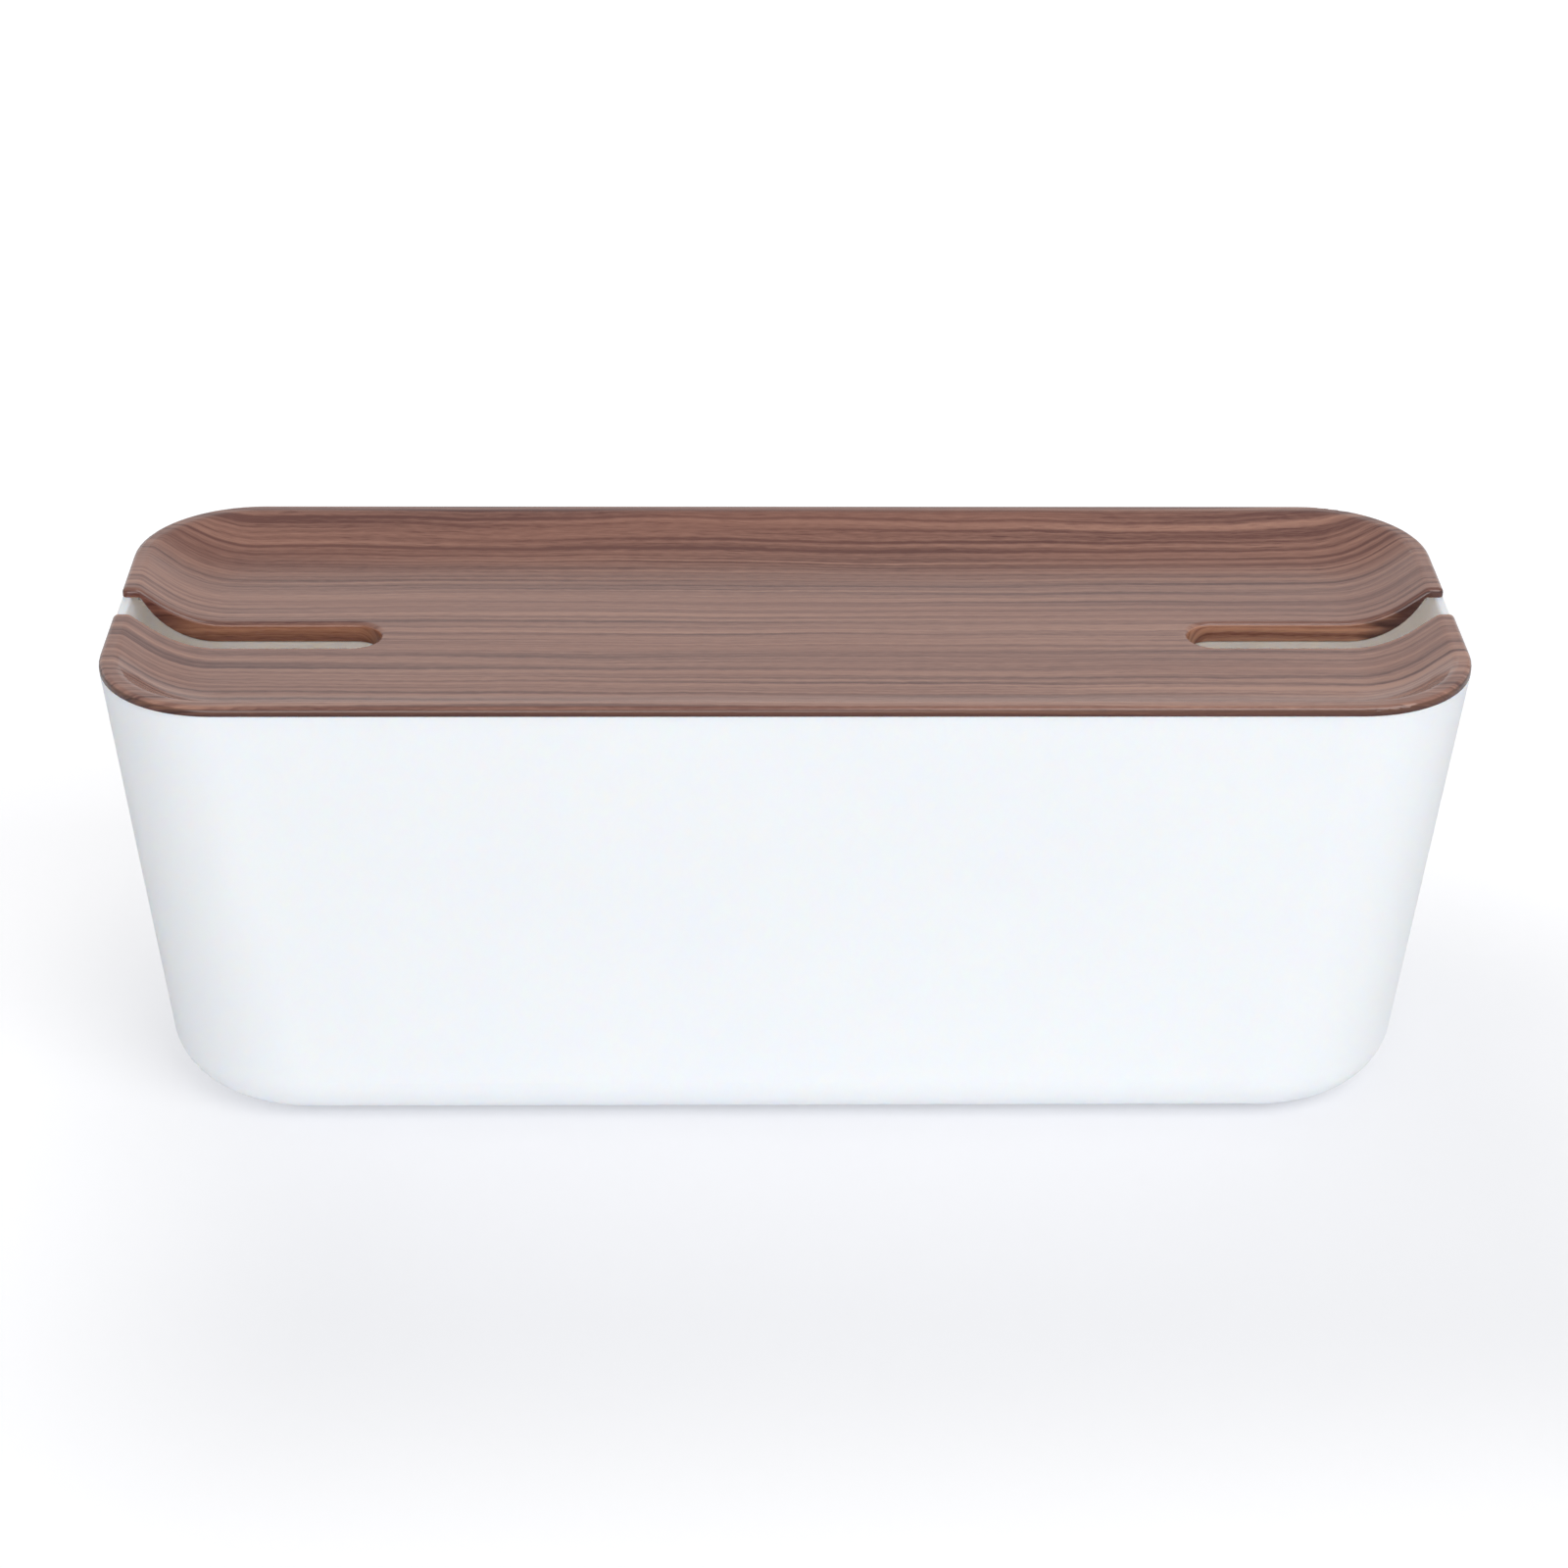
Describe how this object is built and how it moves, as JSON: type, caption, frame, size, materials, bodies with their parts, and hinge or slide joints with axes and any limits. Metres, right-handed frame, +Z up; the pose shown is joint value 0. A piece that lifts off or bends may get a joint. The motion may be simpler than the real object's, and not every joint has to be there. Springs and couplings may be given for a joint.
{
  "type": "cable management box",
  "caption": "Long tapered box with rounded corners and base, closed by a dished lift-off lid with an open-ended cable slot at each end.",
  "frame": {"origin": "on the floor, below the middle of the box: the centre of the bounding box's underside", "axes": "+X along the length to the right, +Y to the rear, +Z up; the front faces -Y"},
  "size_m": [0.465, 0.166, 0.173],
  "materials": {
    "white_plastic": "fine satin moulding",
    "walnut_print": "satin printed wood grain on plastic",
    "soft_foot": "matt soft rubber"
  },
  "bodies": {
    "tub": {"box_body": "white_plastic", "foot_front_left": "soft_foot", "foot_front_right": "soft_foot", "foot_rear_left": "soft_foot", "foot_rear_right": "soft_foot"},
    "lid": {"lid": "walnut_print"}
  },
  "joints": [
    {"name": "lid_lift", "type": "slide", "parent": "tub", "child": "lid", "axis": [0, 0, 1], "range_m": [0, 0.18]}
  ]
}
